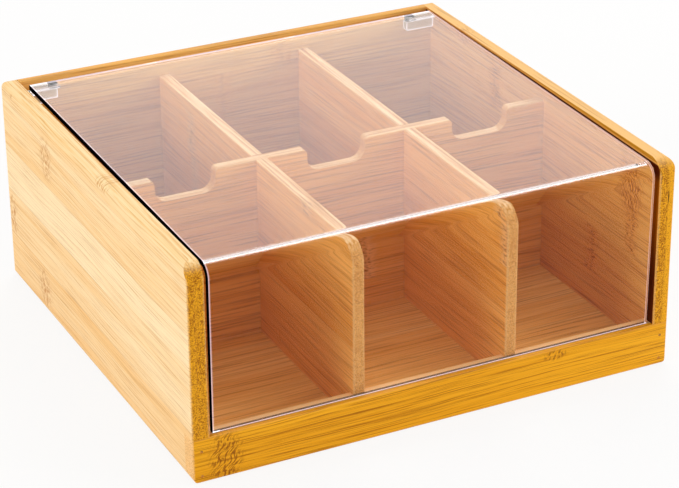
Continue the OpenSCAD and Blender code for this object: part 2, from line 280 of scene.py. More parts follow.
# Traces of handling on the acrylic
SMEAR_FINENESS = (0.018, 0.03, 0.03)
SMEAR_STEP = (0.52, 0.75)
SMEAR_ROUGHNESS = 0.02
SCRATCH_LEAN = 0.3
SCRATCH_STRETCH = 0.02
SCRATCH_FINENESS = 1.3
SCRATCH_STEP = (0.70, 0.74)
SCRATCH_ROUGHNESS = 0.01
SCRATCH_STRENGTH = 0.05
SCRATCH_DEPTH = 0.02 * MM

# Clear acrylic and what light does in it; from the bounce after TRAPPED_AFTER it shows a painted glow
ACRYLIC_IOR = 1.49
ACRYLIC_GLOSS_TINT = (0.1, 0.1, 0.1, 1.0)
LIGHT_THROUGH = (0.95, 0.94, 0.92, 1.0)
GLOW_STRENGTH = 0.8
TRAPPED_AFTER = 5.5

# Hinges: the wall leaves' blocks with the height of their upper face, and the lid leaves with the
# depth where their knuckles begin
BLOCK_TOP = 116.5
BLOCK_ARRIS = 0.9
BLOCK_ROUGHNESS = 0.15
BLOCK_MILK = 0.4
LEAF_ROUGHNESS = 0.02
KNUCKLE_FRONT = 117.0

# Steel wire of the pins and brads; its marks and stains repeat so often per metre
WIRE_MARKS = (300.0, 4000.0, 4000.0)
WIRE_STAINS = 900.0
STAIN_STEP = (0.35, 0.75)
STAIN_SHADE = 0.62
WIRE_RELIEF = 0.3
WIRE_DEPTH = 0.02 * MM
WIRE_ROUGHNESS = (0.28, 0.5)
BRAD_METALLIC = 0.05


def linear(colour):
    """An sRGB colour as the linear RGBA that a socket takes."""
    def channel(value):
        return value / 12.92 if value <= 0.04045 else ((value + 0.055) / 1.055) ** 2.4
    return tuple(channel(value) for value in colour) + (1.0,)


class Graph:
    """Adds nodes to one node tree and links them."""

    def __init__(self, tree):
        self.tree = tree

    def feed(self, socket, value):
        """Writes a value into a socket, or links the socket that gives it."""
        if isinstance(value, bpy.types.NodeSocket):
            self.tree.links.new(value, socket)
        else:
            socket.default_value = value

    def add(self, kind, inputs=None, **settings):
        """A node with its settings, and its inputs as values or as the sockets that feed them."""
        node = self.tree.nodes.new(kind)
        for name, value in settings.items():
            setattr(node, name, value)
        for key, value in (inputs or {}).items():
            self.feed(node.inputs[key], value)
        return node

    def calc(self, operation, *values, clamp=False):
        """The result of a Math node."""
        return self.add("ShaderNodeMath", dict(enumerate(values)), operation=operation,
                        use_clamp=clamp).outputs[0]

    def chain(self, operation, values):
        """The result of one operation on two or more values in turn."""
        result = values[0]
        for value in values[1:]:
            result = self.calc(operation, result, value)
        return result

    def total(self, *values):
        """The sum of two or more values."""
        return self.chain("ADD", values)

    def times(self, *values):
        """The product of two or more values."""
        return self.chain("MULTIPLY", values)

    def largest(self, *values):
        """The largest of two or more values."""
        return self.chain("MAXIMUM", values)

    def opposite(self, value):
        """What a value between 0 and 1 leaves of 1."""
        return self.calc("SUBTRACT", 1.0, value)

    def stretched(self, value, factor, offset):
        """A value times a factor, plus an offset."""
        return self.calc("MULTIPLY_ADD", value, factor, offset)

    def about_zero(self, value, reach):
        """A value between 0 and 1 stretched to a reach with zero in its middle."""
        return self.stretched(value, reach, -reach / 2)

    def vector(self, x, y, z):
        """A vector from three values."""
        return self.add("ShaderNodeCombineXYZ", {0: x, 1: y, 2: z}).outputs[0]

    def split(self, vector):
        """The three values of a vector."""
        return self.add("ShaderNodeSeparateXYZ", {0: vector}).outputs

    def vector_calc(self, operation, first, second):
        """The result of a Vector Math node."""
        return self.add("ShaderNodeVectorMath", {0: first, 1: second}, operation=operation).outputs[0]

    def magnified(self, vector, factor):
        """A vector times one factor."""
        return self.add("ShaderNodeVectorMath", {0: vector, "Scale": factor}, operation="SCALE").outputs[0]

    def scaled(self, x, y, z, by):
        """A vector from three values, each scaled by its own factor."""
        return self.vector(*(self.times(value, factor) for value, factor in zip((x, y, z), by)))

    def noise(self, vector, scale=1.0, detail=3.0, roughness=0.55):
        """A noise value between 0 and 1."""
        inputs = {"Vector": vector, "Scale": scale, "Detail": detail, "Roughness": roughness}
        return self.add("ShaderNodeTexNoise", inputs).outputs[0]

    def step(self, value, low, high, to_low=0.0, to_high=1.0):
        """A smooth step from to_low at low to to_high at high."""
        inputs = {"Value": value, "From Min": low, "From Max": high, "To Min": to_low, "To Max": to_high}
        return self.add("ShaderNodeMapRange", inputs, interpolation_type="SMOOTHSTEP").outputs[0]

    def fade(self, value, low, high):
        """A smooth fall from 1 at low to 0 at high."""
        return self.step(value, low, high, 1.0, 0.0)

    def mix(self, factor, first, second, blend="MIX"):
        """Two colours mixed."""
        node = self.add("ShaderNodeMix", data_type="RGBA", blend_type=blend, clamp_factor=True)
        for place, value in ((0, factor), (6, first), (7, second)):
            self.feed(node.inputs[place], value)
        return node.outputs[2]

    def cover(self, colour, mark, share, tint):
        """A colour with a mark over it that covers a share of it with a tint."""
        return self.mix(self.times(mark, share), colour, tint)

    def from_joint(self, row, width):
        """How far a point lies from the nearest joint between rows of a width."""
        middle = self.calc("ABSOLUTE", self.calc("SUBTRACT", self.calc("FRACT", row), 0.5))
        return self.times(self.calc("SUBTRACT", 0.5, middle), width)

    def bump(self, height, strength, depth):
        """The normal of a surface with a fine relief."""
        return self.shader("ShaderNodeBump", {"Height": height, "Strength": strength, "Distance": depth})

    def shader(self, kind, inputs):
        """The first output of a shader node."""
        return self.add(kind, inputs).outputs[0]

    def blend(self, share, first, second):
        """Two shaders mixed, with a share of the second."""
        return self.shader("ShaderNodeMixShader", {0: share, 1: first, 2: second})


SOCKETS = {"vector": "NodeSocketVector", "float": "NodeSocketFloat", "colour": "NodeSocketColor"}


def new_group(name, inputs, outputs):
    """An empty shader node group with named inputs and outputs, as its graph and its two end nodes."""
    group = bpy.data.node_groups.new(name, "ShaderNodeTree")
    for label, kind, value in inputs:
        socket = group.interface.new_socket(label, in_out="INPUT", socket_type=SOCKETS[kind])
        if value is not None:
            socket.default_value = value
    for label, kind in outputs:
        group.interface.new_socket(label, in_out="OUTPUT", socket_type=SOCKETS[kind])
    graph = Graph(group)
    return graph, graph.add("NodeGroupInput").outputs, graph.add("NodeGroupOutput").inputs


def use_group(graph, name, inputs):
    """A group placed in a material, as its outputs."""
    return graph.add("ShaderNodeGroup", inputs, node_tree=bpy.data.node_groups[name]).outputs


def make_node_scar_group():
    """The scar of a culm node on one strip: a patch of short slanting dashes round a centre.
    Place is in millimetres with the grain along X and the strip's width along Y."""
    g, given, out = new_group(
        "Bamboo Node Scar",
        [("Place", "vector", None), ("Centre", "vector", None), ("Length", "float", 9.0),
         ("Width", "float", 12.0), ("Seed", "float", 0.0)],
        [("Patch", "float"), ("Dashes", "float")])
    seed = given["Seed"]
    x, y, z = g.split(g.vector_calc("SUBTRACT", given["Place"], given["Centre"]))
    ragged = g.noise(g.vector(seed, g.times(y, SCAR_RAGGED_FINENESS), 0.0), detail=2.0)
    x_ragged = g.total(x, g.about_zero(ragged, SCAR_RAGGED_REACH))
    along = g.calc("DIVIDE", x_ragged, given["Length"])
    across = g.calc("DIVIDE", y, given["Width"])
    far = g.calc("SQRT", g.total(g.times(along, along), g.times(across, across)))
    patch = g.fade(far, *SCAR_FADE)
    # Short strokes that rise steeply from the grain's direction and bend a little
    bent = g.total(x, g.times(g.calc("SINE", g.times(y, DASH_BEND_RATE)), DASH_BEND))
    stroke = g.total(g.times(bent, DASH_LEAN_ALONG), g.times(y, DASH_LEAN_ACROSS))
    beside = g.total(g.times(bent, -DASH_LEAN_ACROSS), g.times(y, DASH_LEAN_ALONG))
    long_fineness, short_fineness = DASH_FINENESS
    dash_place = g.vector(g.times(stroke, long_fineness), g.times(beside, short_fineness), g.total(z, seed))
    dashes = g.step(g.noise(dash_place, detail=2.0, roughness=0.5), *DASH_STEP)
    g.feed(out["Patch"], patch)
    g.feed(out["Dashes"], g.times(dashes, patch))


def strip_nodes(g, given, x_own, roll_node, y, z):
    """The nodes at a place of their own on each strip, as their band, their dashes and their ridge."""
    seed = given["Seed"]
    turn = g.calc("FRACT", g.total(g.calc("DIVIDE", x_own, given["Node Spacing"]), roll_node))
    near = g.times(g.calc("SUBTRACT", turn, 0.5), given["Node Spacing"])
    ragged = g.noise(g.vector(y, seed, z), scale=NODE_RAGGED_FINENESS, detail=2.0)
    near = g.total(near, g.about_zero(ragged, NODE_RAGGED_REACH))
    reach = g.calc("ABSOLUTE", near)
    band = g.times(g.fade(reach, *NODE_BAND), given["Scars"])
    fan = g.times(g.calc("TANH", g.times(near, NODE_FAN_RATE)), NODE_FAN)
    lane = g.total(y, fan, g.times(near, NODE_SLANT))
    specks = g.noise(g.scaled(near, lane, g.total(z, seed), NODE_GRAIN), detail=2.5, roughness=0.6)
    dashes = g.times(g.step(specks, *NODE_DASH_STEP), band)
    ridge = g.times(g.fade(reach, *NODE_RIDGE), given["Scars"])
    return band, dashes, ridge


def end_grain(g, given, x_own, roll_hue, x, y, z):
    """The colour of the end grain, and its fibre bundles as dots; every ply has its own depth of
    colour."""
    bundle_place = g.scaled(x_own, g.calc("MULTIPLY_ADD", roll_hue, BUNDLE_SHIFT, y), z, BUNDLE_GRAIN)
    bundle = g.add("ShaderNodeTexVoronoi", {"Vector": bundle_place, "Scale": 1.0}, feature="F1")
    dots = g.fade(bundle.outputs["Distance"], *BUNDLE_DOT)
    mottle = g.noise(g.scaled(x, y, z, MOTTLE_GRAIN), detail=3.0, roughness=0.6)
    speckle = g.noise(g.scaled(x, y, z, SPECKLE_GRAIN), detail=2.0)
    light = g.total(g.stretched(mottle, MOTTLE_LIGHT, END_LIGHT_OFFSET), g.times(speckle, SPECKLE_LIGHT),
                    g.times(roll_hue, PLY_LIGHT), given["End Tone"])
    tone = g.mix(light, given["End Grain"], given["End Light"])
    return g.cover(tone, dots, DOT_COVER, given["Fibre"]), dots


def make_bamboo_group():
    """Glued bamboo strips: colour, roughness and relief. The grain runs along X of Place, the strips
    lie side by side along Y and the plies along Z. End and Edge say how far a face looks along X
    and along Y. Patch and Dashes are node scars that a material adds at places of its own."""
    g, given, out = new_group(
        "Bamboo Strips",
        [("Place", "vector", None), ("Strip", "float", BOARD_STRIP), ("Ply", "float", BOARD_PLY),
         ("Seed", "float", 0.0), ("Figure", "float", 1.0), ("Fineness", "float", 1.0),
         ("Node Spacing", "float", NODE_SPACING), ("Scars", "float", 1.0),
         ("End", "float", 0.0), ("Edge", "float", 0.0), ("End Tone", "float", 0.0),
         ("Patch", "float", 0.0), ("Dashes", "float", 0.0),
         ("Tone", "float", 0.0), ("Tone Spread", "float", TONE_SPREAD),
         ("Pale", "colour", linear(PALE_STRAW)), ("Warm", "colour", linear(PEACH_STRAW)),
         ("Fibre", "colour", linear(BROWN_FIBRE)), ("Scar", "colour", linear(SCAR_STROKE)),
         ("Edge Grain", "colour", linear(GOLD_EDGE)),
         ("End Grain", "colour", linear(DEEP_AMBER)), ("End Light", "colour", linear(END_LIGHT))],
        [("Color", "colour"), ("Roughness", "float"), ("Height", "float")])
    x, y, z = g.split(given["Place"])

    # Each strip has its own tone, its own stretch of culm and its own fibres
    strip_row = g.calc("DIVIDE", y, given["Strip"])
    ply_row = g.calc("DIVIDE", z, given["Ply"])
    cell = g.vector(g.calc("FLOOR", strip_row), g.calc("FLOOR", ply_row), given["Seed"])
    dice = g.add("ShaderNodeTexWhiteNoise", {"Vector": cell}, noise_dimensions="3D")
    roll_tone, roll_node, roll_hue = g.split(dice.outputs["Color"])
    x_own = g.calc("MULTIPLY_ADD", dice.outputs["Value"], CULM_LENGTH, x)
    sway = g.noise(g.scaled(x_own, y, z, SWAY_GRAIN), detail=1.0)
    y_own = g.total(y, g.about_zero(sway, SWAY_WIDTH))
    y_fibre = g.times(y_own, given["Fineness"])

    # Tone from broad to fine
    broad = g.noise(g.scaled(x_own, y_own, z, BROAD_GRAIN), detail=2.0)
    streak = g.noise(g.scaled(x_own, y_fibre, z, STREAK_GRAIN), detail=4.0, roughness=0.62)
    fine = g.noise(g.scaled(x_own, y_fibre, z, HAIR_GRAIN), detail=3.0, roughness=0.6)
    tone = g.total(
        MIDDLE_TONE,
        g.about_zero(broad, TONE_SWING),
        g.times(g.about_zero(streak, TONE_SWING), given["Figure"]),
        given["Tone"],
        g.times(g.calc("SUBTRACT", roll_tone, 0.5), given["Tone Spread"]))
    colour = g.mix(tone, given["Pale"], given["Warm"])

    # Long dark fibres, thin and thinner
    lines = g.times(g.step(streak, *LINE_STEP), given["Figure"])
    hairs = g.times(g.step(fine, *HAIR_STEP), given["Figure"])
    colour = g.cover(colour, lines, LINE_COVER, given["Fibre"])
    colour = g.cover(colour, hairs, HAIR_COVER, given["Fibre"])

    # Node scars, the strips' own and those that a material places
    band, own_dashes, ridge = strip_nodes(g, given, x_own, roll_node, y, z)
    patch = g.largest(band, given["Patch"])
    dashes = g.largest(own_dashes, given["Dashes"])
    colour = g.cover(colour, patch, PATCH_COVER, given["Edge Grain"])
    colour = g.cover(colour, dashes, DASH_COVER, given["Scar"])
    colour = g.cover(colour, ridge, RIDGE_COVER, given["Fibre"])

    # Edge grain is deeper and straighter
    edge_tone = g.mix(g.step(streak, *EDGE_TONE_STEP), given["Edge Grain"], given["Warm"])
    edge_tone = g.cover(edge_tone, lines, EDGE_LINE_COVER, given["Fibre"])
    edge_tone = g.cover(edge_tone, dashes, EDGE_DASH_COVER, given["Scar"])
    colour = g.mix(given["Edge"], colour, edge_tone)
    end_tone, dots = end_grain(g, given, x_own, roll_hue, x, y, z)
    colour = g.mix(given["End"], colour, end_tone)

    # Glue lines between strips and between plies
    strip_joint = g.fade(g.from_joint(strip_row, given["Strip"]), *GLUE_LINE)
    ply_joint = g.fade(g.from_joint(ply_row, given["Ply"]), *GLUE_LINE)
    glue = g.largest(strip_joint, ply_joint)
    colour = g.cover(colour, glue, GLUE_COVER, given["Fibre"])

    roughness = g.total(LACQUER_ROUGHNESS, g.times(streak, STREAK_ROUGHNESS),
                        g.times(given["End"], END_ROUGHNESS))
    relief = ((streak, 0.5), (hairs, -0.35), (glue, -0.5), (dashes, -0.6),
              (g.times(dots, given["End"]), -0.6))
    height = g.total(*(g.times(mark, depth) for mark, depth in relief))
    g.feed(out["Color"], colour)
    g.feed(out["Roughness"], roughness)
    g.feed(out["Height"], height)


def make_rim_group():
    """How close a point lies to an edge of a board, from the board's lowest and highest corners.
    Place, Low, High and Reach are in millimetres."""
    g, given, out = new_group(
        "Board Rim",
        [("Place", "vector", None), ("Low", "vector", None), ("High", "vector", None),
         ("Reach", "float", BOARD_ARRIS)],
        [("Rim", "float")])
    below = g.vector_calc("SUBTRACT", given["Place"], given["Low"])
    above = g.vector_calc("SUBTRACT", given["High"], given["Place"])
    x, y, z = g.split(g.vector_calc("MINIMUM", below, above))
    # An edge is near where the second of the three insets is small
    least = g.calc("MINIMUM", x, y)
    most = g.calc("MAXIMUM", x, y)
    second = g.calc("MAXIMUM", least, g.calc("MINIMUM", most, z))
    waver = g.noise(given["Place"], scale=ARRIS_WAVER_FINENESS, detail=2.0)
    reach = g.times(given["Reach"], g.stretched(waver, ARRIS_WAVER, ARRIS_WAVER_LEAST))
    g.feed(out["Rim"], g.calc("SUBTRACT", 1.0, g.calc("DIVIDE", second, reach), clamp=True))


def make_sheet_edge_group():
    """The clear sheet's arrises, which glow with a painted highlight, as Rim, and the painted shade
    lines along its left side and on the flap's foot, as Painted Shade Lines. The sheet lies evenly
    about X = 0. Place, Low, High, Line and Reach are in millimetres; Facing is the normal."""
    g, given, out = new_group(
        "Sheet Edge",
        [("Place", "vector", None), ("Facing", "vector", None), ("Low", "vector", None),
         ("High", "vector", None), ("Line", "float", PAINTED_SHADE_LINE_WIDTH), ("Reach", "float", SHEET_ARRIS)],
        [("Rim", "float"), ("Painted Shade Lines", "float")])
    x, y, z = g.split(given["Place"])
    _, low_y, low_z = g.split(given["Low"])
    high_x, high_y, _ = g.split(given["High"])
    facing_x, facing_y, _ = g.split(given["Facing"])
    reach = given["Reach"]
    cut_face = g.step(g.calc("MAXIMUM", g.calc("ABSOLUTE", facing_x), facing_y), *SAWN_FACING)
    on_flap = g.fade(facing_y, *FLAP_FACING)
    from_left = g.calc("SUBTRACT", g.calc("ADD", high_x, x), given["Line"])
    from_right = g.calc("SUBTRACT", high_x, x)
    from_back = g.calc("SUBTRACT", high_y, y)
    from_foot = g.calc("SUBTRACT", z, low_z)
    outer_face = g.calc("LESS_THAN", g.calc("SUBTRACT", y, low_y), FLAP_OUTER_DEPTH)

    # Painted highlights on the arrises: the left one is wider, the right one fainter on the flap, the back
    # one fainter
    left_arris = g.fade(g.times(from_left, LEFT_ARRIS_WIDENING), 0.0, reach)
    right_arris = g.times(g.fade(from_right, 0.0, reach),
                          g.stretched(on_flap, RIGHT_ARRIS_LOSS_ON_FLAP, 1.0))
    back_arris = g.times(g.fade(from_back, 0.0, reach), BACK_ARRIS_SHARE)
    foot_arris = g.times(g.fade(from_foot, 0.0, reach), outer_face)
    near = g.largest(left_arris, right_arris, back_arris, foot_arris)
    g.feed(out["Rim"], g.times(near, g.opposite(cut_face)))

    # Painted shade lines: along the left side, and on the inner face along the flap's foot
    foot_line = g.times(g.fade(from_foot, *FOOT_LINE), g.opposite(outer_face), on_flap)
    left_line = g.fade(from_left, -LEFT_LINE_BLUR, LEFT_LINE_BLUR)
    g.feed(out["Painted Shade Lines"], g.largest(left_line, foot_line))


def make_painted_gap_shadow_group():
    """A painted shadow on a side panel's inner face where the closed lid's sawn edge lies beside it and
    would keep the light out: under the sloping top and behind the flap, where painted light glimmers
    through. Painted Lit Strip is painted light on the strip over the lid. Place is in millimetres."""
    g, given, out = new_group("Painted Lid Gap Shadow", [("Place", "vector", None)],
                              [("Shade", "float"), ("Glimmer", "float"), ("Painted Lit Strip", "float")])
    low, high = (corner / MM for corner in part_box("lid"))
    _, y, z = g.split(given["Place"])
    slope = math.tan(LID_TILT)
    above = g.calc("SUBTRACT", z, g.stretched(y, slope, high.z - high.y * slope))
    under_roof = g.fade(above, *GAP_ROOF)
    top_line = g.times(g.step(above, *GAP_BOTTOM), under_roof, g.fade(z, *GAP_LIMIT_HEIGHT))
    flap_line = g.times(g.fade(y, *(low.y + depth for depth in GAP_BACK)),
                        g.step(y, *(low.y + depth for depth in GAP_FRONT)), under_roof)
    g.feed(out["Shade"], g.largest(top_line, flap_line))
    g.feed(out["Glimmer"], g.times(g.step(z, *GLIMMER_BEGINS), g.fade(z, *GLIMMER_ENDS)))
    g.feed(out["Painted Lit Strip"], g.step(above, *LIT_STRIP))


def make_haze_group():
    """Faint smears and hairline scratches on a polished clear sheet. Place is in millimetres."""
    g, given, out = new_group(
        "Handled Acrylic", [("Place", "vector", None), ("Base", "float", 0.015)],
        [("Roughness", "float"), ("Height", "float")])
    x, y, z = g.split(given["Place"])
    smear = g.step(g.noise(g.scaled(x, y, z, SMEAR_FINENESS), detail=3.0), *SMEAR_STEP)
    leaning_x = g.calc("MULTIPLY_ADD", y, SCRATCH_LEAN, x)
    leaning_y = g.calc("MULTIPLY_ADD", x, -SCRATCH_LEAN, y)
    scratch_place = g.vector(leaning_x, g.times(leaning_y, SCRATCH_STRETCH), z)
    scratch = g.step(g.noise(scratch_place, scale=SCRATCH_FINENESS, detail=2.0), *SCRATCH_STEP)
    roughness = g.total(given["Base"], g.times(smear, SMEAR_ROUGHNESS), g.times(scratch, SCRATCH_ROUGHNESS))
    g.feed(out["Roughness"], roughness)
    g.feed(out["Height"], g.times(scratch, -1.0))


def new_material(name):
    """An empty material, as itself, its graph and its output node's surface."""
    material = bpy.data.materials.new(name)
    material.use_nodes = True
    material.node_tree.nodes.clear()
    graph = Graph(material.node_tree)
    return material, graph, graph.add("ShaderNodeOutputMaterial").inputs["Surface"]


def placed_scars(g, pattern, marks, shift, seed):
    """The node scars that a board has at places of its own, as their patches and their dashes."""
    patch = dashes = 0.0
    for i, (along, across, length, width) in enumerate(marks):
        flat = g.vector_calc("MULTIPLY", pattern, (1.0, 1.0, 0.0))
        scar = use_group(g, "Bamboo Node Scar", {
            "Place": flat, "Centre": (along + shift[0], across + shift[1], 0.0),
            "Length": length, "Width": width, "Seed": seed + SCAR_SEED_STEP * i})
        patch = g.largest(patch, scar["Patch"])
        dashes = g.largest(dashes, scar["Dashes"])
    return {"Patch": patch, "Dashes": dashes}


def strip_tone(g, height, tones):
    """The tone at a height, from pairs of a strip's lower edge and its tone."""
    tone = tones[0][1]
    for start, next_tone in tones[1:]:
        tone = g.step(height, start - STRIP_EDGE_BLUR, start + STRIP_EDGE_BLUR, tone, next_tone)
    return tone


def inner_face_painted_shade(g, colour, in_mm, painted_gap_shadow):
    """An inner face darkened with painted shade; where it has one, the painted shadow of the closed
    lid's gap and painted light on the strip above the lid.
    """
    if not painted_gap_shadow:
        return g.mix(1.0, colour, linear(INNER_PAINTED_SHADE), "MULTIPLY")
    beside = use_group(g, "Painted Lid Gap Shadow", {"Place": in_mm})
    shade = g.mix(beside["Painted Lit Strip"], linear(INNER_PAINTED_SHADE), linear(PAINTED_LIGHT_INNER_STRIP))
    gap = g.mix(beside["Glimmer"], linear(GAP_SHADE), linear(GAP_GLIMMER))
    return g.mix(beside["Shade"], g.mix(1.0, colour, shade, "MULTIPLY"), gap)


def end_crack(g, colour, across, height, end, crack):
    """A fine crack that runs up a board's end at an X, tapering to its lowest and its highest Z."""
    x, low, high = crack
    off = g.calc("ABSOLUTE", g.calc("SUBTRACT", across, x))
    from_middle = g.calc("ABSOLUTE", g.calc("SUBTRACT", height, (low + high) / 2))
    taper = g.step(from_middle, 0.0, (high - low) / 2, CRACK_HALF_WIDTH, 0.0)
    return g.cover(colour, g.times(g.calc("LESS_THAN", off, taper), end), CRACK_COVER, linear(CRACK_BROWN))


def bamboo(name, node, grain, strips, plies, strip_width=BOARD_STRIP, ply=BOARD_PLY, seed=0.0,
           figure=1.0, scars=1.0, fineness=1.0, shift=(0.0, 0.0, 0.0), marks=(), colours=None, tones=(),
           inside=None, crack=None, outer_ply=None, painted_light_shelf=None, painted_gap_shadow=False, arris_wear_and_highlight=ARRIS_SHARE_WEAR_AND_HIGHLIGHT):
    """Lacquered bamboo for one board, with all lengths in millimetres. grain, strips and plies are
    the axes x, y and z along which the grain runs and the strips and plies follow each other; shift
    moves the pattern along these. figure is how strong the fibres are, fineness how narrow, and scars
    how strong the strips' own nodes. Each mark is a node scar: its centre along the grain and the
    strips, its length and its width. tones sets the strips' tones from the bottom up as pairs of a
    lower edge and a tone; inside is the axis and the sign that the board's inner face looks to, which
    is darkened with painted shade; painted_gap_shadow gives that face the painted shadow of the closed
    lid's gap and painted light above the lid; crack is the X, the lowest and the highest Z of a fine
    crack in the board's ends; outer_ply is the X where a paler ply begins; painted_light_shelf is the Y
    from which the upper face is painted paler, as painted light; arris_wear_and_highlight is how pale
    the arrises are, partly from wear and partly as a painted highlight."""
    material, g, surface = new_material(name)
    point = g.add("ShaderNodeTexCoord").outputs
    order = [AXIS[grain], AXIS[strips], AXIS[plies]]
    place = g.split(point["Object"])
    facing = g.split(point["Normal"])
    in_mm = g.magnified(point["Object"], TO_MM)
    across, depth, height = g.split(in_mm)
    pattern = g.vector(*(g.stretched(place[axis], TO_MM, shift[i]) for i, axis in enumerate(order)))
    end, edge = (g.step(g.calc("ABSOLUTE", facing[axis]), *END_FACING) for axis in order[:2])
    inputs = {"Place": pattern, "Strip": strip_width, "Ply": ply, "Seed": seed, "Figure": figure,
              "Fineness": fineness, "Scars": scars, "End": end, "Edge": edge}
    inputs |= placed_scars(g, pattern, marks, shift, seed)
    inputs |= {socket: linear(colour) for socket, colour in (colours or {}).items()}
    if outer_ply:
        inputs["End Tone"] = g.step(across, outer_ply - OUTER_PLY_BLUR, outer_ply + OUTER_PLY_BLUR,
                                    *OUTER_PLY_TONES)
    if tones:
        inputs |= {"Tone": strip_tone(g, height, tones), "Tone Spread": 0.0}
    wood = use_group(g, "Bamboo Strips", inputs)
    low, high = (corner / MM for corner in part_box(node))
    rim = use_group(g, "Board Rim", {"Place": in_mm, "Low": low, "High": high, "Reach": BOARD_ARRIS})
    # Pale arrises: partly wear, partly a painted highlight
    colour = g.cover(wood["Color"], rim["Rim"], arris_wear_and_highlight, linear(WEAR_AND_HIGHLIGHT_ARRIS))
    # Painted shade on the inner face, and beside the closed lid the painted shadow of its gap
    if inside:
        axis, sign = inside
        painted_shade_side = g.step(g.times(facing[AXIS[axis]], sign), *FLAT_FACING)
        colour = g.mix(painted_shade_side, colour, inner_face_painted_shade(g, colour, in_mm, painted_gap_shadow))
    # Painted light: the upper face behind the flap is painted paler
    if painted_light_shelf:
        upper = g.times(g.step(facing[AXIS["z"]], *FLAT_FACING),
                        g.step(depth, painted_light_shelf - SHELF_BLUR, painted_light_shelf + SHELF_BLUR))
        colour = g.cover(colour, upper, SHELF_COVER, linear(SHELF_PAINTED_LIGHT))
    if crack:
        colour = end_crack(g, colour, across, height, end, crack)
    g.feed(surface, g.shader("ShaderNodeBsdfPrincipled", {
        "Base Color": colour, "Roughness": wood["Roughness"],
        "Normal": g.bump(wood["Height"], RELIEF_STRENGTH, RELIEF_DEPTH),
        "Coat Weight": LACQUER_COAT, "Coat Roughness": LACQUER_COAT_ROUGHNESS,
        "Specular IOR Level": LACQUER_GLOSS}))
    return material


def clear_surface(g, in_mm, base, milk=0.0, tint=CLEAR_TINT, arrises=None):
    """The shader of polished clear acrylic. Lamps and soft light shine straight through it, so that
    what lies under it is lit. base is its roughness, milk the share of it that scatters light, and
    arrises says where its edges glow with a painted highlight."""
    handled = use_group(g, "Handled Acrylic", {"Place": in_mm, "Base": base})
    inputs = {"Base Color": linear(tint), "Roughness": handled["Roughness"], "IOR": ACRYLIC_IOR,
              "Transmission Weight": 1.0 - milk, "Specular Tint": ACRYLIC_GLOSS_TINT,
              "Normal": g.bump(handled["Height"], SCRATCH_STRENGTH, SCRATCH_DEPTH)}
    if arrises is not None:
        # The arrises glow: a painted highlight
        inputs["Emission Color"] = g.mix(arrises, linear(BLACK), linear(RIM_LIGHT))
        inputs["Emission Strength"] = ARRIS_LIGHT
    glass = g.shader("ShaderNodeBsdfPrincipled", inputs)
    clear = g.shader("ShaderNodeBsdfTransparent", {"Color": LIGHT_THROUGH})
    path = g.add("ShaderNodeLightPath").outputs
    # Rays that run on and on inside the sheet end in a pale glow, painted light in place of what they would
    # bring
    glow = g.shader("ShaderNodeEmission", {"Color": linear(BEND_GLOW), "Strength": GLOW_STRENGTH})
    trapped = g.calc("GREATER_THAN", path["Ray Depth"], TRAPPED_AFTER)
    straight = g.calc("MAXIMUM", path["Is Shadow Ray"], path["Is Diffuse Ray"])
    return g.blend(straight, g.blend(trapped, glass, glow), clear)


def lid_acrylic():
    """The lid's sheet: its arrises glow with a painted highlight, and its sawn sides and the flap's sawn
    foot are dull and stop light. Their colour is painted: dark painted shade on the left side, the
    foot and the lines beside them, and on the right side a painted reflection in the panel's colour."""
    material, g, surface = new_material("Lid Acrylic")
    point = g.add("ShaderNodeTexCoord").outputs
    in_mm = g.magnified(point["Object"], TO_MM)
    low, high = (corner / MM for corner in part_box("lid"))
    edge = use_group(g, "Sheet Edge", {"Place": in_mm, "Facing": point["Normal"], "Low": low, "High": high})
    across, _, height = g.split(in_mm)
    facing_x, _, facing_z = g.split(point["Normal"])
    foot = g.times(g.fade(facing_z, -SAWN_FACING[1], -SAWN_FACING[0]),
                   g.calc("LESS_THAN", height, low.z + SAWN_FOOT_HEIGHT))
    side = g.step(g.calc("ABSOLUTE", facing_x), *SAWN_FACING)
    # Dull faces with painted colour: painted shade on the left side, the foot and its lines, and a painted
    # reflection of the panel on the right side
    sawn = g.largest(side, edge["Painted Shade Lines"], foot)
    at_right = g.calc("GREATER_THAN", across, high.x - SAWN_SIDE_DEPTH)
    tone = g.mix(at_right, linear(PAINTED_SHADE_LEFT), linear(PAINTED_PANEL_REFLECTION_RIGHT))
    dull = g.shader("ShaderNodeBsdfDiffuse", {"Color": tone})
    g.feed(surface, g.blend(sawn, clear_surface(g, in_mm, base=0.0, arrises=edge["Rim"]), dull))
    return material


def wall_leaf_acrylic(side):
    """A wall leaf's milky block, with the edges below its upper face glowing with a painted highlight."""
    material, g, surface = new_material(f"{side.title()} Wall Leaf Acrylic")
    in_mm = g.magnified(g.add("ShaderNodeTexCoord").outputs["Object"], TO_MM)
    low, high = (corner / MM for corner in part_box(f"{side}_hinge_wall_leaf"))
    edge = use_group(g, "Board Rim", {"Place": in_mm, "Low": low, "High": (high.x, high.y, BLOCK_TOP),
                                      "Reach": BLOCK_ARRIS})
    height = g.split(in_mm)[AXIS["z"]]
    arrises = g.times(edge["Rim"], g.calc("LESS_THAN", height, BLOCK_TOP))
    g.feed(surface, clear_surface(g, in_mm, BLOCK_ROUGHNESS, BLOCK_MILK, BLOCK_TINT, arrises))
    return material


def lid_leaf_acrylic():
    """A lid leaf: clear under the lid, and brown from where its knuckle begins."""
    material, g, surface = new_material("Lid Leaf Acrylic")
    in_mm = g.magnified(g.add("ShaderNodeTexCoord").outputs["Object"], TO_MM)
    knuckle = g.calc("GREATER_THAN", g.split(in_mm)[AXIS["y"]], KNUCKLE_FRONT)
    dull = g.shader("ShaderNodeBsdfDiffuse", {"Color": linear(KNUCKLE_BROWN)})
    g.feed(surface, g.blend(knuckle, clear_surface(g, in_mm, LEAF_ROUGHNESS), dull))
    return material


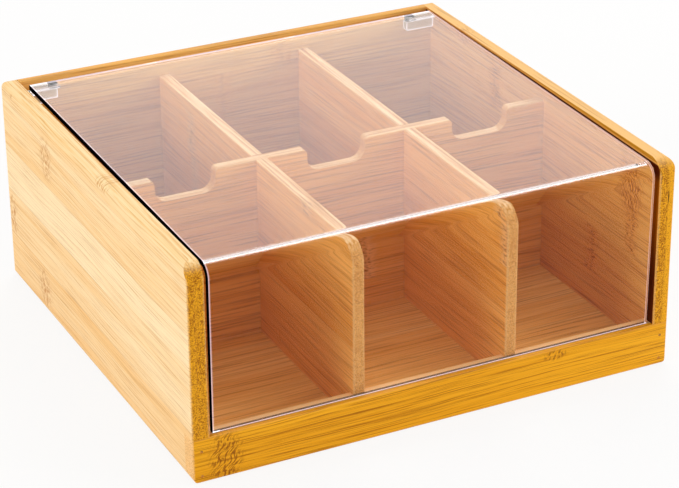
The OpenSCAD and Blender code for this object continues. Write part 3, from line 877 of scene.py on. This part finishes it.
def steel(name, colour, seed, metallic=1.0):
    """Drawn steel wire with fine marks along X; lacquer over it takes some of its metallic shine."""
    material, g, surface = new_material(name)
    x, y, z = g.split(g.add("ShaderNodeTexCoord").outputs["Object"])
    marks = g.noise(g.scaled(x, y, z, WIRE_MARKS), detail=3.0)
    stains = g.noise(g.scaled(x, y, z, (WIRE_STAINS, WIRE_STAINS, WIRE_STAINS + seed)), detail=2.0)
    stained = linear(tuple(STAIN_SHADE * share for share in colour))
    g.feed(surface, g.shader("ShaderNodeBsdfPrincipled", {
        "Base Color": g.mix(g.step(stains, *STAIN_STEP), linear(colour), stained),
        "Metallic": metallic, "Normal": g.bump(marks, WIRE_RELIEF, WIRE_DEPTH),
        "Roughness": g.step(marks, *NOISE_RANGE, *WIRE_ROUGHNESS)}))
    return material


def assign(node, material):
    """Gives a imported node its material."""
    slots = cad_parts[node].data.materials
    slots.clear()
    slots.append(material)


def finish_side_panels():
    """Two plies of broad strips; the left panel's scars and tones and the right one's crack are placed.
    Both inner faces are darkened with painted shade, the right one also with the closed lid's painted gap
    shadow.
    """
    sides = {"strip_width": SIDE_STRIP, "ply": SIDE_PLY}
    assign("left_side_panel", bamboo(
        "Left Panel Bamboo", "left_side_panel", "y", "z", "x", seed=2.0, scars=0.0, figure=0.9,
        fineness=1.3, shift=(0, SIDE_STRIP_SHIFT, SIDE_PLY_JOINT), marks=LEFT_PANEL_SCARS,
        colours=LEFT_BOARD, tones=LEFT_STRIP_TONES, inside=("x", 1), **sides))
    assign("right_side_panel", bamboo(
        "Right Panel Bamboo", "right_side_panel", "y", "z", "x", seed=5.0, figure=1.15,
        shift=(0, SIDE_STRIP_SHIFT, -SIDE_PLY_JOINT), marks=RIGHT_PANEL_SCARS, colours=RIGHT_BOARD,
        inside=("x", -1), painted_gap_shadow=True, crack=(CRACK_X, CRACK_BOTTOM, CRACK_TOP),
        outer_ply=OUTER_PLY_X, **sides))


def finish_back_panel():
    """A deeper straw colour."""
    assign("back_panel", bamboo("Back Panel Bamboo", "back_panel", "x", "z", "y", seed=7.0,
                                colours=BACK_BOARD))


def finish_front_rail():
    """One amber strip with strong fine fibres; its upper face is painted paler behind the flap, as painted
    light.
    """
    assign("front_rail", bamboo(
        "Front Rail Bamboo", "front_rail", "x", "z", "y", strip_width=RAIL_STRIP, ply=SOLID_PLY,
        seed=11.0, figure=1.4, fineness=1.6, scars=0.0, shift=RAIL_SHIFT, marks=RAIL_SCARS,
        colours=AMBER_BOARD, arris_wear_and_highlight=RAIL_SHARE_WEAR_AND_HIGHLIGHT, painted_light_shelf=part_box("lid")[0].y / MM + SHELF_BEHIND_FLAP))


def finish_inner_boards():
    """The floor and the three dividers, in deeper colours that are painted shade inside the box."""
    inner = {"ply": SOLID_PLY, "shift": DIVIDER_SHIFT, "colours": INNER_BOARD_PAINTED_SHADE}
    assign("floor_panel", bamboo("Floor Bamboo", "floor_panel", "x", "y", "z", ply=SOLID_PLY, seed=13.0,
                                 scars=0.0, colours=FLOOR_BOARD))
    dividers = (("left_divider", "y", "x", 17.0), ("right_divider", "y", "x", 18.0),
                ("cross_divider", "x", "y", 23.0))
    for node, grain, plies, seed in dividers:
        name = node.replace("_", " ").title() + " Bamboo"
        assign(node, bamboo(name, node, grain, "z", plies, seed=seed, **inner))


def finish_hinges_and_brads():
    """Clear leaves, dark pins and lacquered brads, alike on both sides."""
    leaf = lid_leaf_acrylic()
    pin = steel("Pin Steel", PIN_BROWN, seed=1.0)
    brad = steel("Brad Steel", BRAD_AMBER, seed=2.0, metallic=BRAD_METALLIC)
    for side in ("left", "right"):
        assign(f"{side}_hinge_wall_leaf", wall_leaf_acrylic(side))
        assign(f"{side}_hinge_lid_leaf", leaf)
        assign(f"{side}_hinge_pin", pin)
        assign(f"{side}_rail_brads", brad)


def finished(piece, material, body):
    """Applies a piece's modifiers, gives it its material and lets it ride on a body."""
    graph = bpy.context.evaluated_depsgraph_get()
    mesh = bpy.data.meshes.new_from_object(piece.evaluated_get(graph), depsgraph=graph)
    piece.modifiers.clear()
    piece.data = mesh
    mesh.materials.clear()
    mesh.materials.append(material)
    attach(piece, body)
    return piece


def lid_stops():
    """The lid's outer and inner outline, as pairs of points in Y and Z from the back edge to the
    flap's lower edge. Extra pairs beside the bend keep the flat parts' shading flat."""
    low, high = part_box("lid")
    pin_low, pin_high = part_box("left_hinge_pin")
    axis = (pin_low + pin_high) / 2
    sin, cos = math.sin(LID_TILT), math.cos(LID_TILT)
    inner = BEND_RADIUS - SHEET
    # Seen from the hinge axis, before the lid is tilted
    top = (high.z - axis.z - LID_BEHIND_AXIS * sin) / cos
    bend_z = top - BEND_RADIUS
    bend_y = (low.y + BEND_RADIUS - axis.y + bend_z * sin) / cos
    front = bend_y - BEND_RADIUS
    bottom = (low.z - axis.z - front * sin) / cos
    top_stops = (LID_BEHIND_AXIS, bend_y / 2, bend_y + FAR_FROM_BEND, bend_y + BESIDE_BEND)
    pairs = [((y, top), (y, top - SHEET)) for y in top_stops]
    for i in range(BEND_STEPS + 1):
        a = math.pi / 2 * i / BEND_STEPS
        pairs.append(((bend_y - BEND_RADIUS * math.sin(a), bend_z + BEND_RADIUS * math.cos(a)),
                      (bend_y - inner * math.sin(a), bend_z + inner * math.cos(a))))
    for z in (bend_z - BESIDE_BEND, bend_z - FAR_FROM_BEND, bottom + ABOVE_FOOT, bottom):
        pairs.append(((front, z), (front + SHEET, z)))
    return [[(axis.y + y * cos - z * sin, axis.z + y * sin + z * cos) for y, z in pair] for pair in pairs]


def lid_sheet():
    """The bent acrylic sheet with its edges eased."""
    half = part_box("lid")[1].x
    bm = bmesh.new()
    rows = [[[bm.verts.new((x, y, z)) for y, z in pair] for x in (-half, 0.0, half)] for pair in lid_stops()]
    for row, ahead in zip(rows, rows[1:]):
        for j in (0, 1):
            bm.faces.new((row[j][0], ahead[j][0], ahead[j + 1][0], row[j + 1][0]))
            bm.faces.new((row[j][1], row[j + 1][1], ahead[j + 1][1], ahead[j][1]))
        for j in (0, 2):
            bm.faces.new((row[j][0], row[j][1], ahead[j][1], ahead[j][0]))
    for row in (rows[0], rows[-1]):
        for j in (0, 1):
            bm.faces.new((row[j][0], row[j + 1][0], row[j + 1][1], row[j][1]))
    bmesh.ops.recalc_face_normals(bm, faces=bm.faces)
    for face in bm.faces:
        face.smooth = True
    mesh = bpy.data.meshes.new("Lid_Sheet")
    bm.to_mesh(mesh)
    bm.free()
    sheet = bpy.data.objects.new("Lid_Sheet", mesh)
    bpy.context.scene.collection.objects.link(sheet)
    ease = sheet.modifiers.new("Eased Edges", "BEVEL")
    ease.width = EASED_EDGE
    ease.segments = EASED_STEPS
    ease.limit_method = "ANGLE"
    ease.angle_limit = EASED_FROM_ANGLE
    ease.harden_normals = True
    return sheet


def add_camera():
    """The camera at its solved place, turned and rolled, and made the scene's own."""
    data = bpy.data.cameras.new("Camera")
    camera = bpy.data.objects.new("Camera", data)
    bpy.context.scene.collection.objects.link(camera)
    a, e, roll = CAMERA_AZIMUTH, CAMERA_ELEVATION, CAMERA_ROLL
    back = Vector((math.sin(a) * math.cos(e), -math.cos(a) * math.cos(e), math.sin(e)))
    level = Vector((0, 0, 1)).cross(back).normalized()
    upright = back.cross(level)
    right = math.cos(roll) * level + math.sin(roll) * upright
    up = math.cos(roll) * upright - math.sin(roll) * level
    turn = Matrix((right, up, back)).transposed()
    camera.matrix_world = Matrix.Translation(CAMERA_PLACE) @ turn.to_4x4()
    data.sensor_width = SENSOR_WIDTH
    data.lens = CAMERA_LENS
    data.clip_start = NEAREST_SEEN
    data.clip_end = FARTHEST_SEEN
    bpy.context.scene.camera = camera


def shown_white(g):
    """How far a ray should see plain white: the camera's own, mirrored and refracted rays."""
    path = g.add("ShaderNodeLightPath").outputs
    seen = g.total(path["Is Camera Ray"], path["Is Glossy Ray"], path["Is Transmission Ray"])
    return g.calc("MINIMUM", seen, 1.0)


def add_world():
    """Soft white light from all sides, in front of plain white."""
    world = bpy.data.worlds.new("World")
    world.use_nodes = True
    world.node_tree.nodes.clear()
    g = Graph(world.node_tree)
    soft = g.shader("ShaderNodeBackground", {"Color": AMBIENT_COLOUR, "Strength": AMBIENT})
    white = g.shader("ShaderNodeBackground", {"Color": WHITE, "Strength": 1.0})
    g.feed(g.add("ShaderNodeOutputWorld").inputs["Surface"], g.blend(shown_white(g), soft, white))
    bpy.context.scene.world = world


def add_softbox(name, place, target, width, height, power):
    """A flat lamp that faces a point."""
    data = bpy.data.lights.new(name, "AREA")
    data.shape = "RECTANGLE"
    data.size = width
    data.size_y = height
    data.energy = power
    data.color = SOFTBOX_COLOUR
    lamp = bpy.data.objects.new(name, data)
    bpy.context.scene.collection.objects.link(lamp)
    aim = Vector(target) - Vector(place)
    lamp.matrix_world = Matrix.Translation(place) @ aim.to_track_quat("-Z", "Y").to_matrix().to_4x4()


def pale_floor():
    """A matte floor that shows nearly white and keeps the box's shadow."""
    material, g, surface = new_material("Pale Floor")
    point = g.add("ShaderNodeTexCoord").outputs
    speck = g.noise(g.magnified(point["Object"], FLOOR_SPECKS_PER_METRE))
    matte = g.shader("ShaderNodeBsdfPrincipled", {
        "Base Color": FLOOR_COLOUR, "Specular IOR Level": FLOOR_GLOSS,
        "Roughness": g.step(speck, *NOISE_RANGE, *FLOOR_ROUGHNESS)})
    white = g.shader("ShaderNodeEmission", {"Color": WHITE, "Strength": 1.0})
    g.feed(surface, g.blend(g.times(shown_white(g), FLOOR_WHITENESS), matte, white))
    return material


def add_floor():
    """The floor under the box."""
    mesh = bpy.data.meshes.new("Floor")
    half = FLOOR_SIZE / 2
    corners = [(-half, -half, 0), (half, -half, 0), (half, half, 0), (-half, half, 0)]
    mesh.from_pydata(corners, [], [(0, 1, 2, 3)])
    floor = bpy.data.objects.new("Floor", mesh)
    bpy.context.scene.collection.objects.link(floor)
    mesh.materials.append(pale_floor())


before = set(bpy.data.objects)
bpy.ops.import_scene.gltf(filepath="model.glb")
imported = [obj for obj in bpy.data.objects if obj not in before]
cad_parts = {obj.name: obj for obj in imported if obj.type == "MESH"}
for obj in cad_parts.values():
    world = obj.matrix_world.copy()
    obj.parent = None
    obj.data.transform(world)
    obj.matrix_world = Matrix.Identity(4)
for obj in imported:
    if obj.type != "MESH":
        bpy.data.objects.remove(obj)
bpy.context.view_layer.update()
bpy.context.scene.view_settings.view_transform = "Standard"

make_node_scar_group()
make_bamboo_group()
make_rim_group()
make_painted_gap_shadow_group()
make_haze_group()
make_sheet_edge_group()

add_camera()
add_world()
for softbox in SOFTBOXES:
    add_softbox(*softbox)
add_floor()

finish_side_panels()
finish_back_panel()
finish_front_rail()
finish_inner_boards()
finish_hinges_and_brads()

lid = finished(lid_sheet(), lid_acrylic(), "lid")
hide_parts("lid")
